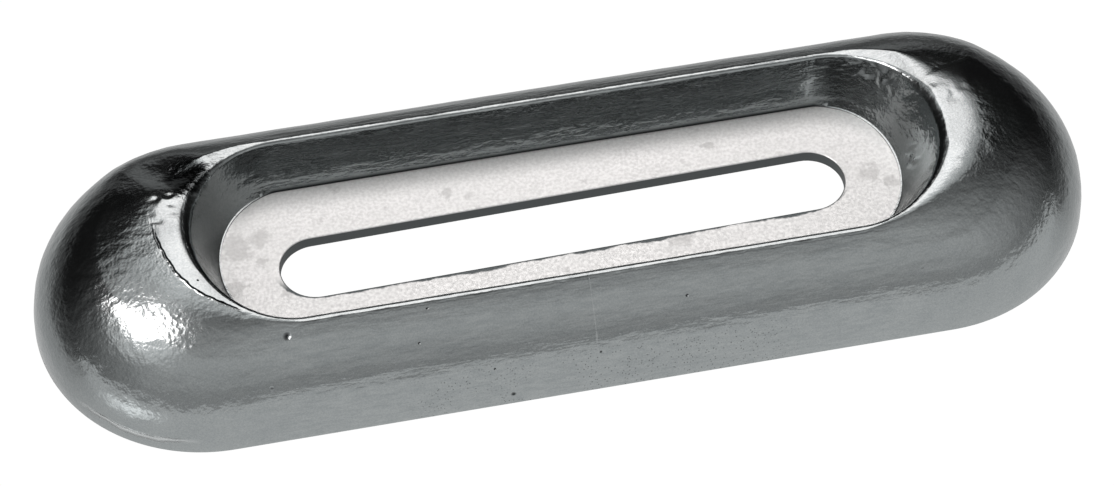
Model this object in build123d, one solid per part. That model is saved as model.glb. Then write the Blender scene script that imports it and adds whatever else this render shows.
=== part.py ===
from build123d import *
import os
from math import radians, tan

# Bolt-on sacrificial anode for a hull: a bull-nosed stadium poured round a slotted steel plate.
# Millimetres. Origin at the middle of the flat hull face, +X along the anode, +Z out of the hull.

# Casting, outside
length = 200.0
width = 65.0
height = 23.5
foot_height = 2.0            # steep band under the round shoulder
side_draft = 2.0             # degrees, lets the casting leave the mould

# Land round the pocket: level along the sides, then rising to the crown round both ends
land_height = 20.8
land_rise_length = 22.0
land_past_mouth = 1.6        # the rise ends this far past the pocket's mouth

# Pocket: a floor outline on the plate and a larger mouth outline at crown height
floor_half_length = 64.5
floor_half_width = 16.3
floor_end_length = 13.2      # length of the round end, flatter than a half circle
mouth_half_length = 70.4
mouth_half_width = 21.2
mouth_end_length = 18.6
rim_radius = 0.8             # rounds the pocket's edge on the land

# Insert plate
plate_bottom = 8.0           # height of the plate's underside above the hull face
plate_thickness = 2.7
plate_embed = 3.7            # how far the plate runs into the metal past the pocket floor
plate_skew = 0.9             # degrees, the plate lies a little askew in the casting
plate_shift = -1.5           # sideways, the plate lies a little off the middle line
slot_length = 107.5
slot_width = 13.5            # clears an M12 stud
slot_edge_radius = 0.3       # punching leaves the slot's edges a little round

# Recess in the hull face, under the plate
recess_embed = 5.0           # how far the plate runs into the metal past the recess
recess_draft = 8.0           # degrees

crown_clearance = 5.0        # how far cutting tools stand above the crown
shoulder_radius = height - foot_height
land_reach = mouth_half_length + land_past_mouth
land_level_half_length = land_reach - land_rise_length
plate_top = plate_bottom + plate_thickness
plate_length = 2 * (floor_half_length + plate_embed)
plate_width = 2 * (floor_half_width + plate_embed)


def pocket_outline(half_length, half_width, end_length, level):
    """Straight sides closed by two half ellipses, on a plane at the given height."""
    side_end = half_length - end_length
    with BuildSketch(Plane.XY.offset(level)) as outline:
        with BuildLine():
            Line((-side_end, -half_width), (side_end, -half_width))
            EllipticalCenterArc((side_end, 0), end_length, half_width, -90, arc_size=180)
            Line((side_end, half_width), (-side_end, half_width))
            EllipticalCenterArc((-side_end, 0), end_length, half_width, 90, arc_size=180)
        make_face()
    return outline.sketch


def bull_nosed_body():
    """The outside: a drafted stadium with one large shoulder all round."""
    with BuildPart() as body:
        with BuildSketch():
            SlotOverall(length, width)
        extrude(amount=height, taper=side_draft)
        fillet(body.faces().sort_by(Axis.Z)[-1].edges(), radius=shoulder_radius)
    return body.part


def above_land():
    """Everything over the land, as one cutting tool."""
    top = height + crown_clearance
    with BuildPart() as tool:
        with BuildSketch(Plane.XZ):
            with BuildLine():
                Line((-land_level_half_length, land_height), (land_level_half_length, land_height))
                TangentArc((land_level_half_length, land_height), (land_reach, height), tangent=(1, 0))
                Polyline((land_reach, height), (land_reach, top), (-land_reach, top), (-land_reach, height))
                TangentArc((-land_level_half_length, land_height), (-land_reach, height), tangent=(-1, 0))
            make_face()
        extrude(amount=width, both=True)
    return tool.part


def pocket():
    """The pocket over the plate, carried on past the crown at the slope of its walls."""
    grow = (height + crown_clearance - plate_top) / (height - plate_top)
    sections = [
        pocket_outline(floor_half_length, floor_half_width, floor_end_length, plate_top),
        pocket_outline(
            floor_half_length + grow * (mouth_half_length - floor_half_length),
            floor_half_width + grow * (mouth_half_width - floor_half_width),
            floor_end_length + grow * (mouth_end_length - floor_end_length),
            height + crown_clearance,
        ),
    ]
    return loft(sections, ruled=True)


def recess():
    """The drafted opening in the hull face, under the plate."""
    spread = 2 * plate_bottom * tan(radians(recess_draft))
    covered = 2 * recess_embed
    with BuildPart() as opening:
        with BuildSketch():
            SlotOverall(plate_length - covered + spread, plate_width - covered + spread)
        extrude(amount=plate_bottom, taper=recess_draft)
    return opening.part


def as_laid(piece):
    """Turns and shifts the plate, or the room it takes, to where it lies in the metal."""
    return Pos(0, plate_shift, 0) * Rot(0, 0, plate_skew) * piece


def plate_blank():
    """The plate before its slot is punched."""
    return Pos(0, 0, plate_bottom) * extrude(SlotOverall(plate_length, plate_width), plate_thickness)


def anode_casting():
    body = bull_nosed_body() - above_land()
    hollow = pocket()
    open_body = body - hollow
    rim = new_edges(body, hollow, combined=open_body)
    return fillet(rim, rim_radius) - recess() - as_laid(plate_blank())


def insert_plate():
    blank = plate_blank()
    slot = Pos(0, 0, plate_bottom) * extrude(SlotOverall(slot_length, slot_width), plate_thickness)
    punched = blank - slot
    slot_edges = punched.edges() - blank.edges()
    slot_rims = slot_edges.filter_by(Axis.Z, reverse=True)
    return as_laid(fillet(slot_rims, slot_edge_radius))


os.makedirs("parts", exist_ok=True)
export_step(anode_casting(), "parts/anode_casting.step")
export_step(insert_plate(), "parts/insert_plate.step")
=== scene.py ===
import math
from functools import partial
import bpy
import numpy as np
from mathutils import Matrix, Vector, noise


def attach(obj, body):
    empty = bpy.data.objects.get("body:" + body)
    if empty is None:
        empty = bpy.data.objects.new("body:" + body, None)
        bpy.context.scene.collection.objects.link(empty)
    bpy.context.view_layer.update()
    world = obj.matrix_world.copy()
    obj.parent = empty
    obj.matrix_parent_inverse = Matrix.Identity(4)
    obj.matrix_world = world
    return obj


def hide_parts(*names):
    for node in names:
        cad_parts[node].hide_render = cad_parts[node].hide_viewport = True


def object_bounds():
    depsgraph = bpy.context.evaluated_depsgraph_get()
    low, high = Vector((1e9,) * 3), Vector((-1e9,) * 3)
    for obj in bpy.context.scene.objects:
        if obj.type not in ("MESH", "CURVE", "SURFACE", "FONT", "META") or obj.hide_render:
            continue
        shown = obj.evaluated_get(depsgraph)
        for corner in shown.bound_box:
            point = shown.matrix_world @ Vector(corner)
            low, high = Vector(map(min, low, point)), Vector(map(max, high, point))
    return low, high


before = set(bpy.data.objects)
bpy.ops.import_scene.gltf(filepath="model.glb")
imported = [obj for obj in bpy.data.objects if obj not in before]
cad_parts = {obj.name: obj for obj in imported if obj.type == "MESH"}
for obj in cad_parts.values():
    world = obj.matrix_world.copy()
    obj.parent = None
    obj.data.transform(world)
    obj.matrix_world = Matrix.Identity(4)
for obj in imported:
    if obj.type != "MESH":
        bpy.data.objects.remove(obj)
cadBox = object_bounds()
mm = 0.001
halfLong, halfWide, tall = (round(size / mm, 3) for size in cadBox[1])      # the CAD box, in mm
perMm = 1000             # a texture's scale is this over the size of its features in mm
eased = {"interpolation_type": "SMOOTHSTEP"}        # for a mapped value that turns softly at both ends
fading = {"To Min": 1.0, "To Max": 0.0}             # and for one that goes from 1 down to 0
noiseRange = {"From Min": 0.3, "From Max": 0.7}     # a noise keeps within this, mostly


def linear(hexColour):
    channels = [int(hexColour[i:i + 2], 16) / 255 for i in (1, 3, 5)]
    return [c / 12.92 if c <= 0.04045 else ((c + 0.055) / 1.055) ** 2.4 for c in channels] + [1.0]


def addNode(tree, kind, inputs, output=0, stops=(), **settings):
    # Adds a node, sets or links its inputs, and gives back one of its outputs. A Mix node takes its share at
    # 0 and two numbers at 2 and 3, or two colours at 6 and 7 with the mixed colour at output 2.
    node = tree.nodes.new("ShaderNode" + kind)
    for name, value in settings.items():
        setattr(node, name, value)
    for _ in stops[2:]:
        node.color_ramp.elements.new(0.5)
    for stop, (place, level) in enumerate(stops):
        node.color_ramp.elements[stop].position = place
        node.color_ramp.elements[stop].color = (level, level, level, 1)
    for name, value in inputs.items():
        if isinstance(value, bpy.types.NodeSocket):
            tree.links.new(value, node.inputs[name])
        else:
            node.inputs[name].default_value = value
    return node.outputs[output] if node.outputs else None


def span(first, last):
    return {"From Min": first * mm, "From Max": last * mm}


def newMaterial(name):
    material = bpy.data.materials.new(name)
    material.use_nodes = True
    material.node_tree.nodes.clear()
    return material, partial(addNode, material.node_tree)


def smooth(value, low, high):
    share = np.clip((value - low) / (high - low), 0, 1)
    return share * share * (3 - 2 * share)


# The camera. The studio is laid out from its heading, and stays where it is in other views.
camera = {
    "heading": 11.474,      # degrees from +Y towards +X
    "elevation": 53.274,    # degrees above the floor
    "distance": 761.55,     # mm
    "lens": 130.18,
    "shiftX": -0.0050,
    "shiftY": 0.0076,
}


def direction(azimuth, elevation):
    # azimuth 0 points away from the camera, and turns to its right
    turn = math.radians(camera["heading"] + azimuth)
    rise = math.radians(elevation)
    return Vector((math.sin(turn) * math.cos(rise), math.cos(turn) * math.cos(rise), math.sin(rise)))


def makeCamera():
    data = bpy.data.cameras.new("studioCamera")
    data.lens = camera["lens"]
    data.shift_x = camera["shiftX"]
    data.shift_y = camera["shiftY"]
    data.clip_start = 10 * mm
    data.clip_end = 100
    item = bpy.data.objects.new("studioCamera", data)
    bpy.context.scene.collection.objects.link(item)
    towards = direction(180, camera["elevation"])
    item.location = towards * camera["distance"] * mm
    item.rotation_euler = (-towards).to_track_quat("-Z", "Y").to_euler()
    bpy.context.scene.camera = item


makeCamera()
bpy.context.scene.view_settings.view_transform = "Standard"
print("camera set")

# The studio. A radiance of 1 is a white floor.
studio = {
    "darkSide": -10,            # azimuth of the room's dark side: the lit one is behind the camera
    "roomByHeight": [
        # sine of the elevation, radiance on the lit side
        (0.0, 0.42), (0.10, 0.42), (0.26, 0.556), (0.6, 0.722), (1.0, 0.76),
    ],
    "roomBySide": [
        # from the lit side (0) to the dark side (1), how much of that is left
        (0.15, 1.0), (0.25, 0.75), (0.42, 0.42), (0.58, 0.13), (0.70, 0.02), (0.8, 0.0),
    ],
    "darkRoom": 0.008,          # an unlit wall past the object
    "underFloor": 0.30,         # what little light gets under the object
    "horizonBlur": 0.03,
    "glows": [
        # azimuth, elevation, inner and outer half angle, radiance
        (-122, 50, 10, 27, 0.7),
        (6, 62, 6, 26, 0.8),
        (-52, 66, 4, 24, 0.7),
        (-5, 0, 5, 24, 0.27),
    ],
    "softboxes": [
        # name, azimuth, elevation, width, height (metres), radiance
        ("keySoftbox", -106, 56, 0.52, 0.55, 7.0),
        ("topSoftbox", 1, 55, 0.50, 0.40, 1.86),
    ],
    "softboxDistance": 1.2,     # metres
    "softboxTint": "#FFF8F7",
    "paper": 1.02,              # the white floor
    "paperReach": 30,           # metres
    # the card that stands in for the floor in reflections glows with painted light: painted floor light,
    # painted shade falling off behind the object, and a painted pool of light
    "nearFloor": 0.84,          # the floor as the metal mirrors it, on the camera's side
    "nearFrom": (-34, -12),     # and where along Y that fades out, mm
    "floorByDistance": [
        # beside and behind the object, share of the fade's length, radiance
        (0.0, 0.66), (0.25, 0.495), (0.55, 0.231), (1.0, 0.10),
    ],
    "floorFade": 95,            # the fade's length, mm
    "floorPool": (-111, -46, 20, 1.7),      # a painted pool of light where the key softbox falls on it: x, y, radius in mm, radiance
    "cardInset": 1.0,           # the mirrored floor starts this far under the foot's edge, mm
    "cardSpread": ((3, 6), (30, 90)),       # and reaches out by these factors
}


def makeWorld():
    world = bpy.data.worlds.new("studioRoom")
    bpy.context.scene.world = world
    world.use_nodes = True
    world.node_tree.nodes.clear()
    add = partial(addNode, world.node_tree)
    way = add("TexCoord", {}, "Generated")
    height = add("SeparateXYZ", {"Vector": way}, 2)
    side = add("VectorMath", {0: way, 1: direction(studio["darkSide"], 0)}, "Value", operation="DOT_PRODUCT")
    side = add("MapRange", {"Value": side, "From Min": -1.0, "From Max": 1.0})
    room = add("ValToRGB", {0: height}, stops=studio["roomByHeight"])
    left = add("ValToRGB", {0: side}, stops=studio["roomBySide"])
    room = add("Math", {0: room, 1: left, 2: studio["darkRoom"]}, operation="MULTIPLY_ADD")
    above = add("MapRange", {"Value": height, "From Min": -studio["horizonBlur"], "From Max": 0.0}, **eased)
    room = add("Mix", {0: above, 2: studio["underFloor"], 3: room}, data_type="FLOAT")
    for azimuth, elevation, inner, outer, radiance in studio["glows"]:
        towards = direction(azimuth, elevation)
        apart = add("VectorMath", {0: way, 1: towards}, "Value", operation="DOT_PRODUCT")
        glow = add("MapRange", {"Value": apart, "From Min": math.cos(math.radians(outer)),
                                "From Max": math.cos(math.radians(inner)), "To Max": radiance}, **eased)
        room = add("Math", {0: room, 1: glow}, operation="ADD")
    add("OutputWorld", {"Surface": add("Background", {"Color": room})})


def makeSoftboxes():
    for name, azimuth, elevation, width, height, radiance in studio["softboxes"]:
        data = bpy.data.lights.new(name, "AREA")
        data.shape = "RECTANGLE"
        data.size = width
        data.size_y = height
        data.energy = radiance * math.pi * width * height
        data.color = linear(studio["softboxTint"])[:3]
        item = bpy.data.objects.new(name, data)
        bpy.context.scene.collection.objects.link(item)
        away = direction(azimuth, elevation)
        item.location = away * studio["softboxDistance"]
        item.rotation_euler = (-away).to_track_quat("-Z", "Y").to_euler()


def ringMesh(grid):
    # points and faces of a skin that runs round in columns, and the index of each point
    rows, columns = grid.shape[:2]
    index = np.arange(rows * columns).reshape(rows, columns)
    over = np.roll(index, -1, axis=1)
    faces = np.stack([index[:-1], over[:-1], over[1:], index[1:]], axis=-1).reshape(-1, 4)
    return grid.reshape(-1, 3), faces, index


def stadium(halfStraight, radius, count=96):
    angles = np.concatenate([np.linspace(-90, 90, count // 2), np.linspace(90, 270, count // 2)])
    side = np.repeat([1, -1], count // 2) * halfStraight
    turn = np.radians(angles)
    return np.stack([side + radius * np.cos(turn), radius * np.sin(turn), np.zeros(count)], axis=-1)


def outsideStadium(add, place, halfStraight, radius, turn=0.0, shift=0.0):
    # how far a point is outside a stadium lying along X, in metres
    laid = add("Mapping", {"Vector": place, "Location": (0, shift * mm, 0),
                           "Rotation": (0, 0, math.radians(turn))}, vector_type="TEXTURE")
    along, across, _ = add("SeparateXYZ", {"Vector": laid}).node.outputs
    past = add("Math", {0: along}, operation="ABSOLUTE")
    past = add("Math", {0: past, 1: halfStraight * mm}, operation="SUBTRACT")
    past = add("Math", {0: past, 1: 0.0}, operation="MAXIMUM")
    reach = add("VectorMath", {0: add("CombineXYZ", {0: past, 1: across})}, "Value", operation="LENGTH")
    return add("Math", {0: reach, 1: radius * mm}, operation="SUBTRACT")


def whitePaper():
    # smooth white paper, so evenly lit that it gives the eye no shade at all
    material, add = newMaterial("whitePaper")
    add("OutputMaterial", {"Surface": add("Emission", {"Color": (1, 1, 1, 1), "Strength": studio["paper"]})})
    return material


def paintedFloorGlow():
    # a glowing card in the floor's place that the camera doesn't see: painted floor light, bright on the near
    # side, painted shade falling off behind, and a painted pool of light from the key softbox
    material, add = newMaterial("paintedFloorGlow")
    place = add("TexCoord", {}, "Object")
    across = add("SeparateXYZ", {"Vector": place}, 1)
    nearSide = add("MapRange", {"Value": across, **span(*studio["nearFrom"]), **fading}, **eased)
    apart = outsideStadium(add, place, halfLong - halfWide, halfWide)
    apart = add("MapRange", {"Value": apart, "From Max": studio["floorFade"] * mm})
    level = add("ValToRGB", {0: apart}, stops=studio["floorByDistance"])
    level = add("Mix", {0: nearSide, 2: level, 3: studio["nearFloor"]}, data_type="FLOAT")
    x, y, radius, radiance = studio["floorPool"]
    apart = add("VectorMath", {0: place, 1: (x * mm, y * mm, 0)}, "Value", operation="DISTANCE")
    pool = add("MapRange", {"Value": apart, "From Max": radius * mm,
                            "To Min": radiance, "To Max": 0.0}, **eased)
    level = add("Math", {0: level, 1: pool}, operation="ADD")
    add("OutputMaterial", {"Surface": add("Emission", {"Color": level})})
    return material


def makeFloor(name, points, faces, material):
    data = bpy.data.meshes.new(name)
    data.from_pydata(points, [], faces)
    data.materials.append(material)
    item = bpy.data.objects.new(name, data)
    bpy.context.scene.collection.objects.link(item)
    item.visible_shadow = False
    return item


def makeFloors():
    far = studio["paperReach"]
    corners = [(-far, -far, 0), (far, -far, 0), (far, far, 0), (-far, far, 0)]
    paper = makeFloor("floor", corners, [(0, 1, 2, 3)], whitePaper())
    paper.visible_glossy = paper.visible_diffuse = False
    inner = stadium((halfLong - halfWide) * mm, (halfWide - studio["cardInset"]) * mm)
    rings = [inner] + [inner * (wide, deep, 1) for wide, deep in studio["cardSpread"]]
    points, faces, _ = ringMesh(np.stack(rings))
    card = makeFloor("litFloor", points.tolist(), faces.tolist(), paintedFloorGlow())
    card.visible_camera = False


makeWorld()
makeSoftboxes()
makeFloors()
print("studio lit")

# The casting: sizes in mm, as in the CAD source. Its skin runs round the pocket in columns, and in rows from
# the foot up over the shoulder and the land, down the pocket's wall and back under the plate. An angle round
# the ends is 0 at the right tip, 90 on the far side and 180 at the left tip.
casting = {
    "halfLength": halfLong,
    "halfWidth": halfWide,
    "crown": tall,
    "foot": 2.0,                # the shoulder is one radius from here to the crown
    "footRound": 0.5,
    "draft": 2.0,               # degrees
    "land": 20.8,
    "landLevel": 50.0,          # half length of its level part
    "landPastMouth": 1.6,       # its rise meets the crown this far past the pocket's mouth
    "floorOutline": (64.5, 16.3, 13.2),     # half length, half width, length of the round end
    "mouthOutline": (70.4, 21.2, 18.6),
    "mouthShift": 0.8,          # the mould's core sat a little to the right
    "plateBottom": 8.0,
    "plateTop": 10.7,
    "plateOutline": (68.2, 20.0, 20.0),
    "plateSkew": 0.9,           # degrees
    "plateShift": -1.5,
    "recessOutline": (63.2, 15.0, 15.0),
    "recessSpread": 1.124,      # how much wider the recess is at the hull face
    "sideColumns": 172,
    "endColumns": 222,
    "footRows": 5,
    "shoulderRows": 58,
    "landRows": 14,
    "rimRows": 6,
    "wallRows": 26,
    "recessRows": 3,
    "hullRows": 3,
    "rimCut": [
        # angle round the ends, how far the rounding reaches from the pocket's edge
        (0, 1.5), (18, 1.1), (35, 0.5), (50, 0.35), (75, 0.35), (90, 0.48), (110, 0.50), (130, 0.8),
        (150, 1.5), (170, 1.3), (190, 0.9), (210, 0.65), (230, 0.54), (315, 0.7), (335, 1.2), (360, 1.5),
    ],
    "shelf": [
        # angle round the ends, width of the level shelf past the rim, and over what length the metal past it
        # turns down
        (0, 6.4, 3.0), (20, 7.5, 1.5), (35, 20, 0.5), (142, 20, 0.5), (150, 7.0, 1.0), (162, 5.9, 4.0),
        (171, 5.0, 5.0), (180, 4.8, 5.0), (187, 4.2, 2.5), (198, 3.8, 0.5), (207, 3.2, 0.5), (217, 2.0, 0.5),
        (226, 0.7, 0.5), (236, 0.7, 0.5), (262, 0.8, 0.5), (300, 0.8, 0.5), (306, 1.1, 0.5), (318, 2.8, 0.5),
        (335, 5.0, 2.0), (360, 6.4, 3.0),
    ],
    "shelfDrop": (0.11, 9.0),   # how steeply the metal falls away past it, and over what length
    "shelfRows": 25,            # rows above the foot over which that sets in
    "farShelf": 12,             # a shelf wider than this ends at the crease
    "droops": [
        # angle round the ends, half width, how far the land sinks where the metal shrank
        (142, 16, 1.5),
    ],
    "droopRows": 26,            # rows under the crease that sink with it
    "creaseBlend": (14, 40),    # rows under the crease, passes of smoothing where the land meets the shoulder
    "farBlend": 0.3,            # how much of that the land's far side gets, against 1 for the ends
    "farCrease": (12, 40, 140, 165),        # the angles between which the land keeps its crease
    "skin": [
        # the poured skin's waves: size along X, Y and Z, depth along the sides and at the ends
        (1.5, 1.1, 1.1, 0.010, 0.024),
        (2.6, 2.0, 2.0, 0.016, 0.044),
        (9.0, 1.6, 1.6, 0.045, 0.018),
        (14.0, 8.0, 8.0, 0.050, 0.045),
    ],
    "skinFade": (55, 84),       # where along X the ends' waves set in
    "wallRipple": (1.8, 0.5),   # the pocket's wall: factor on the ends' waves, and what its round ends add
    "calmShare": 0.8,           # how much of the waves the level shelf loses
    "calmEdge": (0.9, 1.2),     # how far past the shelf that runs on, and over what length it fades
    "skinBias": 0.6,            # taken off every wave, so that they run inwards
    "foldSize": (1.5, 1.5, 2.1),
    "laps": [
        # where the metal froze in folds on the pocket's wall: x, y, z, radius, depth
        (64.2, 13.2, 19.6, 2.6, 0.30),
        (61.5, 15.2, 19.2, 2.0, 0.26),
        (66.0, -2.6, 14.2, 2.8, 0.34),
    ],
    "creases": [
        # and where the land is wrinkled
        (-73.4, 9.6, 23.4, 2.4, 0.42),
        (-74.6, 5.4, 23.5, 2.2, 0.26),
        (75.8, 5.2, 23.5, 2.6, 0.12),
    ],
    "beadSpan": (168, 184, 226, 236),       # the left end's bead: where it sets in and runs out
    "beadOut": 0.3,             # and how far past the shelf it lies
    "sideFoldAndShade": 0.35,         # the fold beside the land on the long sides, a shallow dent with painted shade in it, against 1 for that bead
    "cornerShadeRows": (0.15, 0.5, 0.95, 1.0),    # how dark the painted shade is on the pocket's last rows, down to the plate
    "contactGap": 0.25,         # along the sides the metal stands back from the plate by this much
    "footFilm": (0.22, 0.20),   # the metal that crept onto the plate at the pocket's ends: reach, height
}


def outlinePoints(sizes, columns):
    halfLength, halfWidth, endLength = sizes
    along, cosine, sine = columns
    return np.stack([along * (halfLength - endLength) + cosine * endLength, sine * halfWidth], axis=-1)


def withHeight(points, height):
    return np.concatenate([points, np.broadcast_to(height, points.shape[:1])[:, None]], axis=-1)


def solve(count, farthest, tooFar):
    # the largest value of each column that isn't too far, by halving
    low, high = np.zeros(count), np.full(count, farthest)
    for _ in range(44):
        middle = (low + high) / 2
        over = tooFar(middle)
        high = np.where(over, middle, high)
        low = np.where(over, low, middle)
    return (low + high) / 2


def outward(columns):
    _, halfWidth, endLength = casting["mouthOutline"]
    normal = np.stack([columns[1] / endLength, columns[2] / halfWidth], axis=-1)
    return normal / np.linalg.norm(normal, axis=-1, keepdims=True)


def inset(points):
    # how far a point lies inside the casting's outline
    past = np.maximum(np.abs(points[..., 0]) - (casting["halfLength"] - casting["halfWidth"]), 0)
    return casting["halfWidth"] - np.hypot(past, points[..., 1])


def outlineAhead(start, way, depth=0.0):
    # where each column comes within this depth of the casting's outline
    reach = solve(len(start), casting["halfLength"], lambda r: inset(start + way * r[:, None]) < depth)
    return start + way * reach[:, None]


def castingColumns():
    # even along the sides, and spaced evenly on the outer outline round the ends
    sideCount, endCount = casting["sideColumns"], casting["endColumns"]
    dense = np.linspace(-90, 90, 2001)
    turn = np.radians(dense)
    columns = np.ones(len(dense)), np.cos(turn), np.sin(turn)
    outer = outlineAhead(outlinePoints(casting["mouthOutline"], columns), outward(columns))
    travel = np.concatenate([[0], np.cumsum(np.linalg.norm(np.diff(outer, axis=0), axis=1))])
    even = np.radians(np.interp(np.linspace(0, travel[-1], endCount + 1)[:-1], travel, dense))
    straight = np.linspace(-1, 1, sideCount + 1)[:-1]
    along = np.concatenate([straight, np.ones(endCount), -straight, -np.ones(endCount)])
    cosine = np.concatenate([np.zeros(sideCount), np.cos(even), np.zeros(sideCount), -np.cos(even)])
    sine = np.concatenate([-np.ones(sideCount), np.sin(even), np.ones(sideCount), -np.sin(even)])
    return along, cosine, sine


def landLevel(x):
    run = casting["mouthOutline"][0] + casting["landPastMouth"] - casting["landLevel"]
    rise = casting["crown"] - casting["land"]
    past = np.clip(np.abs(x) - casting["landLevel"], 0, run)
    radius = (run ** 2 + rise ** 2) / (2 * rise)
    level = casting["land"] + radius - np.sqrt(radius ** 2 - past ** 2)
    return np.minimum(level, casting["crown"] - 0.003)      # just under the crown, so that they still cross


def shoulderPoint(travel):
    # depth and height on the shoulder's section, after this much travel up it
    radius, draft = casting["crown"] - casting["foot"], math.radians(casting["draft"])
    centre = (casting["foot"] + radius * math.sin(draft)) * math.tan(draft) + radius * math.cos(draft)
    turn = np.minimum(travel / radius, math.pi / 2 - draft) + draft
    flat = np.maximum(travel - radius * (math.pi / 2 - draft), 0)
    return centre - radius * np.cos(turn) + flat, casting["foot"] + radius * np.sin(turn)


def between(first, last, count, ends=(False, True)):
    steps = np.linspace(0, 1, count + 1)
    steps = steps[0 if ends[0] else 1:len(steps) if ends[1] else -1]
    return [first + (last - first) * step for step in steps]


def aroundEnds(table, angle):
    # each column of the table read at the angle, its corners rounded off
    around, *values = zip(*table)
    near = [(angle + step) % 360 for step in range(-6, 7)]
    return [np.mean([np.interp(turn, around, value) for turn in near], axis=0) for value in values]


def pocketRings(columns):
    floor = withHeight(outlinePoints(casting["floorOutline"], columns), casting["plateTop"])
    mouth = withHeight(outlinePoints(casting["mouthOutline"], columns), casting["crown"])
    mouth = mouth + (casting["mouthShift"], 0, 0)

    def wallPoint(share):
        return floor + (mouth - floor) * share[:, None]

    share = solve(len(floor), 1.0, lambda s: wallPoint(s)[:, 2] > landLevel(wallPoint(s)[:, 0]))
    edge = wallPoint(share)
    slope = (floor - edge) / np.linalg.norm(floor - edge, axis=-1, keepdims=True)
    return floor, edge, slope


def undersideRings(columns):
    # the bed of the plate, and the recess under it
    skew = math.radians(casting["plateSkew"])
    plan = outlinePoints(casting["plateOutline"], columns)
    plan = plan @ np.array([[math.cos(skew), math.sin(skew)], [-math.sin(skew), math.cos(skew)]])
    plan = plan + (0, casting["plateShift"])
    wider = [size + casting["recessSpread"] for size in casting["recessOutline"]]
    top = withHeight(outlinePoints(casting["recessOutline"], columns), casting["plateBottom"])
    foot = withHeight(outlinePoints(wider, columns), 0.0)
    bed = [withHeight(plan, casting["plateTop"]), withHeight(plan, casting["plateBottom"])]
    return bed + [top] + between(top, foot, casting["recessRows"])


def castingRings():
    columns = castingColumns()
    way = outward(columns)
    angle = np.degrees(np.arctan2(columns[2], columns[1])) % 360
    floor, edge, slope = pocketRings(columns)
    cut = aroundEnds(casting["rimCut"], angle)[0]
    wallTop = edge + slope * cut[:, None]
    landIn = edge[:, :2] + way * cut[:, None]

    def shoulderAt(travel):
        depth, height = shoulderPoint(travel)
        return withHeight(outlineAhead(landIn, way, depth), height)

    def landPoint(reach):
        plan = landIn + way * reach[:, None]
        return withHeight(plan, landLevel(plan[:, 0]))

    def overLand(travel):
        points = shoulderAt(travel)
        return points[:, 2] > landLevel(points[:, 0]) + 1e-9

    crease = solve(len(way), casting["halfLength"], overLand)
    rings = []
    tip = casting["footRound"]
    for turn in np.linspace(0, math.pi / 2, casting["footRows"]):
        depth = tip * (1 - math.sin(turn)) + 0.02       # a hair inside the CAD box
        rings.append(withHeight(outlineAhead(landIn, way, depth), tip * (1 - math.cos(turn))))
    rings += [shoulderAt(crease * step) for step in np.linspace(0, 1, casting["shoulderRows"] + 1)]
    creaseRow = len(rings) - 1
    reach = np.linalg.norm(rings[-1][:, :2] - landIn, axis=-1)
    rings += [landPoint(reach * (1 - step)) for step in np.linspace(0, 1, casting["landRows"] + 1)[1:]]
    rimRow = len(rings) - 1
    landEdge = rings[-1]
    for step in np.linspace(0, 1, casting["rimRows"] + 1)[1:]:
        rings.append((1 - step) ** 2 * landEdge + 2 * step * (1 - step) * edge + step ** 2 * wallTop)
    rings += between(wallTop, floor, casting["wallRows"])
    wallRow = len(rings) - 1
    rings += undersideRings(columns)
    rings += between(rings[-1], rings[0], casting["hullRows"], (False, False))

    # how far each column is round an end, and how much its crease is smoothed out
    tips = smooth(np.abs(columns[1]), 0.05, 0.30)
    setIn, full, wane, end = casting["farCrease"]
    nearOrTip = 1 - smooth(angle, setIn, full) * (1 - smooth(angle, wane, end))
    wholeShoulder = (casting["crown"] - casting["foot"]) * math.radians(90 - casting["draft"])
    blend = np.maximum(smooth(crease / wholeShoulder, 0.80, 1.0), nearOrTip * tips)
    blend = np.maximum(blend, casting["farBlend"] * smooth(columns[2], 0.3, 0.9) * (1 - tips))
    return np.stack(rings), angle, tips, blend, (creaseRow, rimRow, wallRow)


def gridNormals(grid):
    across = np.roll(grid, -1, axis=1) - np.roll(grid, 1, axis=1)
    down = np.gradient(grid, axis=0)
    normal = np.cross(across, down)
    return normal / np.maximum(np.linalg.norm(normal, axis=-1, keepdims=True), 1e-12)


def waves(points, size, seed):
    scaled = points / size + np.array([17.3, 5.1, 9.7]) * seed
    heights = [noise.noise(Vector(point)) for point in scaled.reshape(-1, 3).tolist()]
    return np.array(heights).reshape(points.shape[:-1])


def blendCrease(grid, blend, creaseRow, rimRow):
    # the land runs out into the shoulder without an edge
    under, passes = casting["creaseBlend"]
    low, high = creaseRow - under, rimRow - 2
    for _ in range(passes):
        mean = (grid[low - 1:high - 1] + grid[low + 1:high + 1]) / 2
        grid[low:high] += (mean - grid[low:high]) * blend[None, :, None]


def sinkLand(grid, angle, tips, creaseRow, rimRow):
    # past the shelf the metal falls away, and it sinks where it shrank
    rows = np.arange(len(grid))[:, None]
    first = casting["footRows"]
    reach = np.linalg.norm((grid - grid[rimRow])[..., :2], axis=-1)[:rimRow + 1]
    shelf, turning = aroundEnds(casting["shelf"], angle)
    past = np.maximum(reach - shelf, 0)
    bend = past ** 2 / (past + turning)
    steepness, length = casting["shelfDrop"]
    drop = steepness * bend / (1 + bend / length) * tips
    setIn = smooth(rows[first:rimRow], first, first + casting["shelfRows"])
    grid[first:rimRow, :, 2] -= drop[first:rimRow] * setIn
    across = np.where(rows <= creaseRow, smooth(rows, creaseRow - casting["droopRows"], creaseRow),
                      smooth(rimRow - rows, 0, rimRow - creaseRow))
    for middle, halfWidth, depth in casting["droops"]:
        grid[..., 2] -= depth * across * (1 - smooth(np.abs(angle - middle), 0, halfWidth))[None, :]
    return reach, shelf


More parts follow.
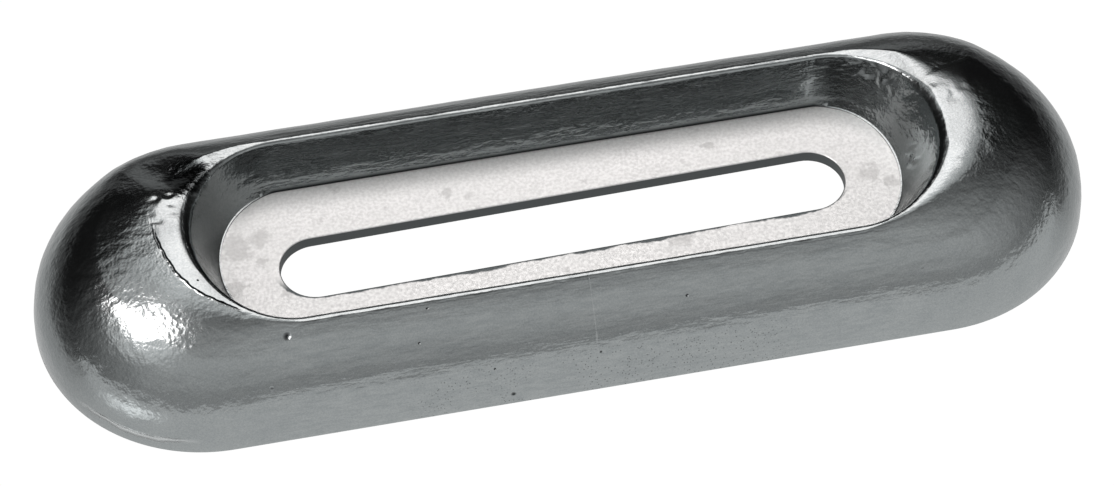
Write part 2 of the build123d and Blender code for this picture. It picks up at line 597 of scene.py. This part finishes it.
def rippleSkin(grid, tips, calm, rimRow, wallRow):
    # the skin froze in waves and wrinkles, which run inwards, and in folds on the pocket's wall
    first = casting["footRows"]
    rows = np.arange(first, wallRow)[:, None]
    skin = grid[first:wallRow]
    normals = gridNormals(grid)[first:wallRow]
    onWall = smooth(rows, rimRow, rimRow + casting["rimRows"])
    factor, added = casting["wallRipple"]
    atEnd = smooth(np.abs(skin[..., 0]), *casting["skinFade"])
    atEnd = atEnd * (1 + (factor - 1) * onWall) + added * onWall * tips
    depth = np.zeros(skin.shape[:-1])
    for seed, (*size, amount, endAmount) in enumerate(casting["skin"]):
        depth += (amount + (endAmount - amount) * atEnd) * (waves(skin, size, seed + 1) - casting["skinBias"])
    fade = np.clip(np.minimum((rows - first + 1) / 4, (wallRow - rows) / 4), 0, 1)
    depth = np.minimum(depth, 0) * fade * (1 - casting["calmShare"] * calm[first:wallRow])
    folds = waves(skin, casting["foldSize"], 9)
    for places, shape, share in ((casting["laps"], folds, onWall),
                                 (casting["creases"], np.minimum(folds, 0), 1 - onWall)):
        for *centre, radius, amount in places:
            apart = np.linalg.norm(skin - centre, axis=-1)
            depth += amount * shape * np.exp(-(apart / radius) ** 2) * share
    grid[first:wallRow] += normals * depth[..., None]


def seatOnPlate(grid, tips, wallRow):
    # along the sides the metal shrank back from the plate, and at the ends a film of it crept over
    outwards = grid[wallRow + 1] - grid[wallRow]
    outwards /= np.linalg.norm(outwards, axis=-1, keepdims=True)
    foot = grid[wallRow].copy()
    tips = tips[:, None]
    film, thick = casting["footFilm"]
    gap = casting["contactGap"] * (1 - tips)
    grid[wallRow] += outwards * (gap - tips * film)
    grid[wallRow - 1] += (foot - outwards * tips * film + (0, 0, thick) - grid[wallRow - 1]) * tips
    grid[wallRow - 2] += (foot + outwards * 0.1 + (0, 0, thick + 0.04) - grid[wallRow - 2]) * tips
    grid[wallRow - 1] += outwards * gap * 0.35


def pouredSkin(grid, angle, tips, blend, rowsAt):
    creaseRow, rimRow, wallRow = rowsAt
    blendCrease(grid, blend, creaseRow, rimRow)
    reach, shelf = sinkLand(grid, angle, tips, creaseRow, rimRow)
    crease = np.linalg.norm((grid[creaseRow] - grid[rimRow])[:, :2], axis=-1)
    edge = np.where(shelf < casting["farShelf"], crease + (shelf - crease) * tips, crease)

    # marks that the finish follows: the level shelf, the distance to its outer edge, how strong the bead (or,
    # below 0, the fold with painted shade in it) is there, and painted shade in the corner at the plate
    calm, plateCornerShade = np.zeros(grid.shape[:2]), np.zeros(grid.shape[:2])
    further, fade = casting["calmEdge"]
    calm[:rimRow + 1] = smooth(edge + further - reach, 0, fade)
    bead = np.full(grid.shape[:2], 9.0)         # too far from the land to show
    bead[:rimRow + 1] = reach - edge - casting["beadOut"]
    setIn, full, wane, end = casting["beadSpan"]
    shown = smooth(angle, setIn, full) * (1 - smooth(angle, wane, end))
    fold = np.where(tips > 0.02, shown * tips, 0) - casting["sideFoldAndShade"] * (1 - tips)
    # painted shade on the pocket wall's last rows where they meet the plate, less at the ends
    plateCornerShade[wallRow - 3:wallRow + 1] = np.array(casting["cornerShadeRows"])[:, None]
    plateCornerShade[wallRow - 3:wallRow] *= 1 - 0.9 * tips

    rippleSkin(grid, tips, calm, rimRow, wallRow)
    seatOnPlate(grid, tips, wallRow)
    return grid, {"bead": bead, "fold": np.broadcast_to(fold, bead.shape), "calm": calm, "plateCornerShade": plateCornerShade}


def makeCasting(material):
    grid, marks = pouredSkin(*castingRings())
    points, faces, index = ringMesh(grid)
    closing = np.stack([index[-1], np.roll(index[-1], -1), np.roll(index[0], -1), index[0]], axis=-1)
    faces = np.concatenate([faces, closing])
    data = bpy.data.meshes.new("anodeCasting")
    data.from_pydata((points * mm).tolist(), [], faces.tolist())
    data.polygons.foreach_set("use_smooth", np.ones(len(faces), dtype=bool))
    data.set_sharp_from_angle(angle=math.radians(42))
    for name, values in marks.items():
        mark = data.attributes.new(name, "FLOAT", "POINT")
        mark.data.foreach_set("value", values.astype(np.float32).ravel())
    data.update()
    data.materials.append(material)
    item = bpy.data.objects.new("anodeCasting", data)
    bpy.context.scene.collection.objects.link(item)
    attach(item, "root")
    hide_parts("anode_casting")


# The casting's finish. A pair such as "grain" is the size and the depth of a pattern, in mm.
zinc = {
    "bright": "#A6AAAA",
    "dull": "#94999A",
    "speck": "#303334",
    "filedAndHighlight": "#C9CCCC",           # where the flash was filed down; on the parting line this lighter colour is partly a painted highlight
    "drossAndShade": "#1E2122",             # dark oxide scum, also the colour of the painted shade in the corner at the plate and in the land's fold
    "metallic": 1.0,
    "roughness": (0.16, 0.20),
    "dressedRoughness": 0.5,
    "roughPatches": 6,              # size of the rougher patches, mm
    "bloom": 0.34,                  # oxide bloom: the real one is finer, this is as fine as shows
    "bloomRange": (0.82, 1.38),
    "streak": (3.4, 0.72, 0.052),   # flow streaks along the sides: length, width and depth
    "peel": (0.86, 0.034, 0.068),   # size, depth along the sides and at the ends
    "calmPeel": 0.15,               # how much of it the level shelf keeps
    "ends": (50, 78),               # where along X streaks give way to peel
    "grain": (0.40, 0.009),         # the mould's dressing: the real grain is finer, this is as fine as shows
    "bead": (0.34, 0.11),           # half width and height of the bead round the left end's land
    "beadWander": (1.6, 0.35),      # over what length it wanders, and how far
    "foldShade": (0.22, 0.10, 0.26),   # painted shade in the fold inside it: how far in, inner and outer half width
    "foldShadeBreaks": (4.5, 1.6, 0.95, 1.35),     # how long its pieces are, and what sets where they break off
    "foldShadeStrength": 1.8,
    "seam": (3.6, 0.85, 0.30),      # the mould's parting line at the foot: height, half width, depth
    "seamWander": (7, 1.5),
    "seamSpan": (-80, -72),         # it was dressed off from here on along X
    "seamSide": (-23, -17),         # and along Y
    "pits": [
        # gas pits: x, y, z, radius
        (-55.4, -23.1, 19.7, 0.95),
        (-15.8, -32.4, 3.1, 0.65),
        (-82.8, -14.9, 20.8, 0.55),
        (-59.5, -29.4, 13.0, 0.60),
        (-29.6, -22.4, 20.2, 0.35),
        (17.7, -26.5, 16.8, 0.40),
        (0.8, -31.0, 9.8, 0.35),
        (-18.9, -30.9, 9.9, 0.30),
        (-32.0, -27.0, 16.3, 0.35),
        (-70.1, -20.3, 21.2, 0.40),
        (-69.4, -9.9, 22.9, 0.24),
        (61.8, -28.0, 15.0, 0.45),
    ],
    "pitShape": (0.16, 0.25),       # depth, and the share of the radius that is flat
    "specks": (0.66, 0.17, 0.4),    # pinpricks: spacing, radius and the share of it that is flat
    "speckShare": (0.3, 0.6),       # their depth and their colour, against the pits'
    "speckPatches": (14, 0.34, 0.48),           # size of their patches, and what sets the edges
    "speckSpan": (-34, 36, 10.5),   # from, to along X and up to this height
    "speckFade": (8, 2.5, 2.0),     # how far they thin out either way along X, below and above that height
    "knock": (0.3, 0.24, 0.032),    # a knock's thin line down the near side: x, half width and depth
    "knockGaps": (3.0, 0.45, 0.65, 0.5),        # size of its gaps, what sets their edges, its strength
    "knockSpan": (8, 12),           # it shows above this height
    "knockSide": (-24, -21),        # and on this side of the land along Y
    "scum": (-68.2, 14.8, 22.6),    # a patch of wrinkled oxide skin
    "scumRadius": (4.8, 6.7),       # where it starts to fade and where it ends, its wander included
    "scumStrength": 0.85,
    "wrinkleRadius": (5.3, 9.7),    # its wrinkles run on past it
    "wrinkles": (1.0, 0.15),
    "scumWander": (2.0, 3.0),       # over what length the edges of both wander, and how far
}


def zincSkin(add, place, x):
    # flow streaks along the sides, peel at the ends, and a fine grain over both
    ends = add("Math", {0: x}, operation="ABSOLUTE")
    ends = add("MapRange", {"Value": ends, **span(*zinc["ends"])}, **eased)
    length, width, depth = zinc["streak"]
    drawn = add("Mapping", {"Vector": place, "Scale": (perMm / length, perMm / width, perMm / width)})
    streaks = add("TexNoise", {"Vector": drawn, "Scale": 1.0, "Detail": 2.0})
    streaks = add("Mix", {0: ends, 2: streaks, 3: 0.5}, data_type="FLOAT")
    bump = add("Bump", {"Height": streaks, "Distance": depth * mm})
    size, depth, endDepth = zinc["peel"]
    share = add("MapRange", {"Value": ends, "To Min": depth / endDepth})
    calm = add("Attribute", {}, "Fac", attribute_name="calm")
    calm = add("MapRange", {"Value": calm, "To Min": 1.0, "To Max": zinc["calmPeel"]})
    share = add("Math", {0: share, 1: calm}, operation="MULTIPLY")
    peel = add("TexNoise", {"Vector": place, "Scale": perMm / size, "Detail": 1.5})
    peel = add("Math", {0: peel, 1: share}, operation="MULTIPLY")
    bump = add("Bump", {"Height": peel, "Distance": endDepth * mm, "Normal": bump})
    size, depth = zinc["grain"]
    grain = add("TexNoise", {"Vector": place, "Scale": perMm / size, "Detail": 1.0})
    return add("Bump", {"Height": grain, "Distance": depth * mm, "Normal": bump}), streaks


def landBead(add, place, bump):
    # a bead of metal along the land's outer edge, with painted shade in the fold inside it that breaks off
    # here and there
    size, far = zinc["beadWander"]
    wander = add("TexNoise", {"Vector": place, "Scale": perMm / size, "Detail": 2.0})
    wander = add("Math", {0: wander, 1: 2 * far, 2: -far}, operation="MULTIPLY_ADD")
    edge = add("Attribute", {}, "Fac", attribute_name="bead")
    edge = add("Math", {0: edge, 1: wander}, operation="ADD")
    fold = add("Attribute", {}, "Fac", attribute_name="fold")
    halfWidth, height = zinc["bead"]
    apart = add("Math", {0: edge}, operation="ABSOLUTE")
    raised = add("MapRange", {"Value": apart, "From Max": halfWidth, **fading}, **eased)
    raised = add("Math", {0: raised, 1: fold}, operation="MULTIPLY")
    bump = add("Bump", {"Height": raised, "Distance": height * mm, "Normal": bump})

    # the dark line in the fold is painted shade, in the dross colour
    inwards, inner, outer = zinc["foldShade"]
    apart = add("Math", {0: edge, 1: inwards}, operation="ADD")
    apart = add("Math", {0: apart}, operation="ABSOLUTE")
    foldShade = add("MapRange", {"Value": apart, "From Min": inner, "From Max": outer, **fading}, **eased)
    strength = add("Math", {0: fold}, operation="ABSOLUTE")
    size, share, low, high = zinc["foldShadeBreaks"]
    whole = add("TexNoise", {"Vector": place, "Scale": perMm / size, "Detail": 3.0})
    whole = add("Math", {0: whole, 1: share, 2: strength}, operation="MULTIPLY_ADD")
    whole = add("MapRange", {"Value": whole, "From Min": low, "From Max": high})
    strength = add("Math", {0: fold}, operation="ABSOLUTE", use_clamp=True)
    for factor in (whole, strength):
        foldShade = add("Math", {0: foldShade, 1: factor}, operation="MULTIPLY")
    strength = zinc["foldShadeStrength"]
    return bump, add("Math", {0: foldShade, 1: strength}, operation="MULTIPLY", use_clamp=True)


def partingLine(add, place, x, y, z, bump):
    # the mould's parting line, only where it was not dressed off; its lighter colour is partly a painted
    # highlight
    height, halfWidth, depth = zinc["seam"]
    size, far = zinc["seamWander"]
    level = add("TexNoise", {"Vector": place, "Scale": perMm / size, "Detail": 2.0})
    level = add("Math", {0: level, 1: -2 * far * mm, 2: (far - height) * mm}, operation="MULTIPLY_ADD")
    apart = add("Math", {0: z, 1: level}, operation="ADD")
    apart = add("Math", {0: apart}, operation="ABSOLUTE")
    line = add("MapRange", {"Value": apart, "From Max": halfWidth * mm, **fading}, **eased)
    shares = []
    for value, (first, last) in ((x, zinc["seamSpan"]), (y, zinc["seamSide"])):
        shares.append(add("MapRange", {"Value": value, **span(first, last), **fading}, **eased))
        line = add("Math", {0: line, 1: shares[-1]}, operation="MULTIPLY")
    nearSide = shares[-1]
    return add("Bump", {"Height": line, "Distance": depth * mm, "Normal": bump}), line, nearSide


def gasPits(add, place, x, z, bump):
    # single gas pits, and a scatter of pinpricks in patches low on the side
    depth, flat = zinc["pitShape"]
    pits = 0.0
    for *centre, radius in zinc["pits"]:
        apart = add("VectorMath", {0: place, 1: [c * mm for c in centre]}, "Value", operation="DISTANCE")
        pit = add("MapRange", {"Value": apart, "From Min": radius * flat * mm, "From Max": radius * mm,
                               **fading}, **eased)
        pits = add("Math", {0: pits, 1: pit}, operation="MAXIMUM")
    spacing, radius, flat = zinc["specks"]
    cells = add("TexVoronoi", {"Vector": place, "Scale": perMm / spacing, "Randomness": 1.0}, "Distance")
    specks = add("MapRange", {"Value": cells, "From Min": radius * flat / spacing,
                              "From Max": radius / spacing, **fading}, **eased)
    size, low, high = zinc["speckPatches"]
    patches = add("TexNoise", {"Vector": place, "Scale": perMm / size, "Detail": 2.0})
    patches = add("MapRange", {"Value": patches, "From Min": low, "From Max": high}, **eased)
    specks = add("Math", {0: specks, 1: patches}, operation="MULTIPLY")
    first, last, top = zinc["speckSpan"]
    aside, below, above = zinc["speckFade"]
    spans = ((x, first - aside, first + aside, 0.0, 1.0), (x, last - aside, last + aside, 1.0, 0.0),
             (z, top - below, top + above, 1.0, 0.0))
    for value, start, stop, before, after in spans:
        share = add("MapRange", {"Value": value, **span(start, stop),
                                 "To Min": before, "To Max": after}, **eased)
        specks = add("Math", {0: specks, 1: share}, operation="MULTIPLY")
    depthShare, colourShare = zinc["speckShare"]
    shallow = add("Math", {0: specks, 1: depthShare}, operation="MULTIPLY")
    hollow = add("Math", {0: pits, 1: shallow}, operation="MAXIMUM")
    height = add("Math", {0: 1.0, 1: hollow}, operation="SUBTRACT")
    bump = add("Bump", {"Height": height, "Distance": depth * mm, "Normal": bump})
    stained = add("Math", {0: specks, 1: colourShare}, operation="MULTIPLY")
    return bump, add("Math", {0: pits, 1: stained}, operation="MAXIMUM")


def knockLine(add, place, x, y, z, nearSide, bump):
    at, halfWidth, depth = zinc["knock"]
    apart = add("Math", {0: x, 1: at * mm}, operation="SUBTRACT")
    apart = add("Math", {0: apart}, operation="ABSOLUTE")
    line = add("MapRange", {"Value": apart, "From Max": halfWidth * mm, **fading}, **eased)
    line = add("Math", {0: line, 1: nearSide}, operation="MULTIPLY")
    height = add("Math", {0: 1.0, 1: line}, operation="SUBTRACT")
    bump = add("Bump", {"Height": height, "Distance": depth * mm, "Normal": bump})
    size, low, high, strength = zinc["knockGaps"]
    worn = add("TexNoise", {"Vector": place, "Scale": perMm / size, "Detail": 3.0})
    worn = add("MapRange", {"Value": worn, "From Min": low, "From Max": high, "To Max": strength})
    upper = add("MapRange", {"Value": z, **span(*zinc["knockSpan"])})
    outside = add("MapRange", {"Value": y, **span(*zinc["knockSide"]), **fading})
    for factor in (worn, upper, outside):
        line = add("Math", {0: line, 1: factor}, operation="MULTIPLY")
    return bump, line


def oxideScum(add, place, bump):
    size, far = zinc["scumWander"]
    wander = add("TexNoise", {"Vector": place, "Scale": perMm / size, "Detail": 2.0})
    centre = [c * mm for c in zinc["scum"]]
    apart = add("VectorMath", {0: place, 1: centre}, "Value", operation="DISTANCE")
    apart = add("Math", {0: wander, 1: far * mm, 2: apart}, operation="MULTIPLY_ADD")
    inner, outer = zinc["scumRadius"]
    scum = add("MapRange", {"Value": apart, **span(inner, outer),
                            "To Min": zinc["scumStrength"], "To Max": 0.0}, **eased)
    inner, outer = zinc["wrinkleRadius"]
    share = add("MapRange", {"Value": apart, **span(inner, outer), **fading}, **eased)
    size, depth = zinc["wrinkles"]
    wrinkles = add("TexNoise", {"Vector": place, "Scale": perMm / size, "Detail": 2.0})
    wrinkles = add("Math", {0: wrinkles, 1: share}, operation="MULTIPLY")
    return add("Bump", {"Height": wrinkles, "Distance": depth * mm, "Normal": bump}), scum


def gravityCastZinc():
    # Zinc alloy poured in an open iron mould and left as cast. It gives the eye a bright mirror that the
    # frozen skin bends and breaks up, under a faint grey bloom of oxide.
    material, add = newMaterial("gravityCastZinc")
    place = add("TexCoord", {}, "Object")
    x, y, z = add("SeparateXYZ", {"Vector": place}).node.outputs
    bump, streaks = zincSkin(add, place, x)
    bump, foldShade = landBead(add, place, bump)
    bump, seam, nearSide = partingLine(add, place, x, y, z, bump)
    bump, pits = gasPits(add, place, x, z, bump)
    bump, knock = knockLine(add, place, x, y, z, nearSide, bump)
    bump, scum = oxideScum(add, place, bump)

    patches = add("TexNoise", {"Vector": place, "Scale": perMm / zinc["roughPatches"], "Detail": 3.0})
    low, high = zinc["roughness"]
    rough = add("MapRange", {"Value": patches, **noiseRange, "To Min": low, "To Max": high})
    bloom = add("TexNoise", {"Vector": place, "Scale": perMm / zinc["bloom"], "Detail": 2.0})
    bloom = add("Math", {0: patches, 1: 0.4, 2: bloom}, operation="MULTIPLY_ADD")
    bloom = add("Math", {0: streaks, 1: 0.8, 2: bloom}, operation="MULTIPLY_ADD")
    low, high = zinc["bloomRange"]
    bloom = add("MapRange", {"Value": bloom, "From Min": low, "From Max": high})
    # painted shade in the corner at the plate and in the land's fold, with the real oxide scum, all in the
    # dross colour
    scumAndShade = add("Attribute", {}, "Fac", attribute_name="plateCornerShade")
    for other in (foldShade, scum):
        scumAndShade = add("Math", {0: scumAndShade, 1: other}, operation="MAXIMUM")
    # lighter, rougher metal on the knock and the parting line: real wear, and on the parting line partly a
    # painted highlight
    filedAndHighlight = add("Math", {0: seam, 1: knock}, operation="MAXIMUM")
    colour = linear(zinc["bright"])
    for share, name in ((bloom, "dull"), (scumAndShade, "drossAndShade"), (pits, "speck"), (filedAndHighlight, "filedAndHighlight")):
        colour = add("Mix", {0: share, 6: colour, 7: linear(zinc[name])}, 2, data_type="RGBA")
    rough = add("Mix", {0: filedAndHighlight, 2: rough, 3: zinc["dressedRoughness"]}, data_type="FLOAT")
    surface = add("BsdfPrincipled", {"Base Color": colour, "Metallic": zinc["metallic"],
                                     "Roughness": rough, "Normal": bump})
    add("OutputMaterial", {"Surface": surface})
    return material


makeCasting(gravityCastZinc())
print("casting made")

# The insert plate's finish, in mm
steel = {
    "pale": "#DDDEDD",
    "cloudy": "#D0D1D0",
    "stain": "#9C9C9B",
    "sheared": "#7E8384",           # the punched slot's wall, where the steel shows
    "rolledAndShaded": "#444B4D",            # its near edge, dragged over by the punch, darkened further with painted shade
    "metallic": 0.8,                # the zinc's patina is partly a dull carbonate
    "roughness": (0.34, 0.42),
    "spangle": (0.6, 0.38, 0.64),   # size of the pale and cloudy grains, and what sets their edges
    "grain": (0.36, 0.018),         # the real patina is finer, this is as fine as shows
    "ripple": (1.6, 0.014),
    "spots": (3.0, 0.66, 0.74, 0.3),            # faint spots: size, what sets their edges, strength
    "stains": [
        # where flux was splashed: x, y, radius
        (-60.8, 5.0, 4.4), (-56.6, 6.4, 3.2), (-63.4, -4.2, 3.2), (-56.7, 0.9, 1.6), (-53.5, -6.8, 1.5),
        (20.6, -9.4, 3.2), (58.7, -1.2, 2.8), (41.0, 1.6, 1.2), (62.0, -3.7, 1.8), (30.2, 11.0, 1.4),
        (-20.0, 9.6, 1.6),
    ],
    "stainEdge": (1.6, 7.0),        # how finely and how far their edges wander
    "stainStrength": 0.40,
    "top": 10.7,                    # height of the plate's face
    "slot": (47.0, 6.75, 0.9, -1.5),            # half straight, radius, skew and shift, as in the CAD source
    "edgeWear": (0.04, 0.10),
    "burrAndShade": (0.27, 0.67),           # the punch's ragged edge, darkened with painted shade: where past the slot it fades
    "burrRuns": (9, 2.6),           # over what length its width varies, and how much
    "burrTeeth": (0.9, 0.5),
    "burrSide": (-7.0, -3.0),       # only on the near side, along Y
    "burrStrength": 0.95,
}


def stainedPatina(add, place):
    # faint spots all over, and stains with ragged edges where the flux splashed
    size, low, high, strength = steel["spots"]
    spots = add("TexNoise", {"Vector": place, "Scale": perMm / size, "Detail": 3.0})
    spots = add("MapRange", {"Value": spots, "From Min": low, "From Max": high, "To Max": strength})
    size, far = steel["stainEdge"]
    wander = add("TexNoise", {"Vector": place, "Scale": perMm / size, "Detail": 4.0})
    for x, y, radius in steel["stains"]:
        centre = (x * mm, y * mm, steel["top"] * mm)
        apart = add("VectorMath", {0: place, 1: centre}, "Value", operation="DISTANCE")
        apart = add("Math", {0: wander, 1: far * mm, 2: apart}, operation="MULTIPLY_ADD")
        # the wander adds half of how far it goes to the distance
        spot = add("MapRange", {"Value": apart, "From Min": (far / 2 - 0.3 + radius * 0.4) * mm,
                                "From Max": (far / 2 - 0.1 + radius) * mm,
                                "To Min": steel["stainStrength"], "To Max": 0.0}, **eased)
        spots = add("Math", {0: spots, 1: spot}, operation="MAXIMUM")
    return spots


def punchedEdge(add, place):
    # bare steel on the slot's wall, and the burr dragged over its near edge, its dark colour partly painted
    # shade
    toSlot = outsideStadium(add, place, *steel["slot"])
    low, high = steel["edgeWear"]
    sheared = add("MapRange", {"Value": toSlot, **span(low, high), **fading}, **eased)
    size, far = steel["burrRuns"]
    runs = add("TexNoise", {"Vector": place, "Scale": perMm / size, "Detail": 3.0})
    ragged = add("Math", {0: runs, 1: -far * mm, 2: far / 2 * mm}, operation="MULTIPLY_ADD")
    size, far = steel["burrTeeth"]
    teeth = add("TexNoise", {"Vector": place, "Scale": perMm / size, "Detail": 3.0})
    ragged = add("Math", {0: teeth, 1: -far * mm, 2: ragged}, operation="MULTIPLY_ADD")
    ragged = add("Math", {0: toSlot, 1: ragged}, operation="ADD")
    low, high = steel["burrAndShade"]
    burrAndShade = add("MapRange", {"Value": ragged, **span(low, high), **fading}, **eased)
    first, last = steel["burrSide"]
    side = add("SeparateXYZ", {"Vector": place}, 1)
    side = add("MapRange", {"Value": side, **span(first, last),
                            "To Min": steel["burrStrength"], "To Max": 0.0}, **eased)
    return sheared, add("Math", {0: burrAndShade, 1: side}, operation="MULTIPLY")


def galvanisedSteel():
    # Mild steel strip, hot-dip galvanised and then dulled by the metal poured round it. It gives the eye a
    # pale, softly shining face, faintly grained, with grey flux stains.
    material, add = newMaterial("galvanisedSteel")
    place = add("TexCoord", {}, "Object")
    size, low, high = steel["spangle"]
    grains = add("TexNoise", {"Vector": place, "Scale": perMm / size, "Detail": 4.0})
    cloudy = add("MapRange", {"Value": grains, "From Min": low, "From Max": high})
    stains = stainedPatina(add, place)
    sheared, burrAndShade = punchedEdge(add, place)
    colour = linear(steel["pale"])
    for share, name in ((cloudy, "cloudy"), (stains, "stain"), (sheared, "sheared"), (burrAndShade, "rolledAndShaded")):
        colour = add("Mix", {0: share, 6: colour, 7: linear(steel[name])}, 2, data_type="RGBA")
    low, high = steel["roughness"]
    rough = add("MapRange", {"Value": grains, **noiseRange, "To Min": low, "To Max": high})
    size, depth = steel["ripple"]
    ripple = add("TexNoise", {"Vector": place, "Scale": perMm / size, "Detail": 1.0})
    bump = add("Bump", {"Height": ripple, "Distance": depth * mm})
    size, depth = steel["grain"]
    grain = add("TexNoise", {"Vector": place, "Scale": perMm / size, "Detail": 2.0})
    bump = add("Bump", {"Height": grain, "Distance": depth * mm, "Normal": bump})
    surface = add("BsdfPrincipled", {"Base Color": colour, "Metallic": steel["metallic"],
                                     "Roughness": rough, "Normal": bump})
    add("OutputMaterial", {"Surface": surface})
    return material


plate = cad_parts["insert_plate"]
plate.data.materials.clear()
plate.data.materials.append(galvanisedSteel())
print("plate finished")
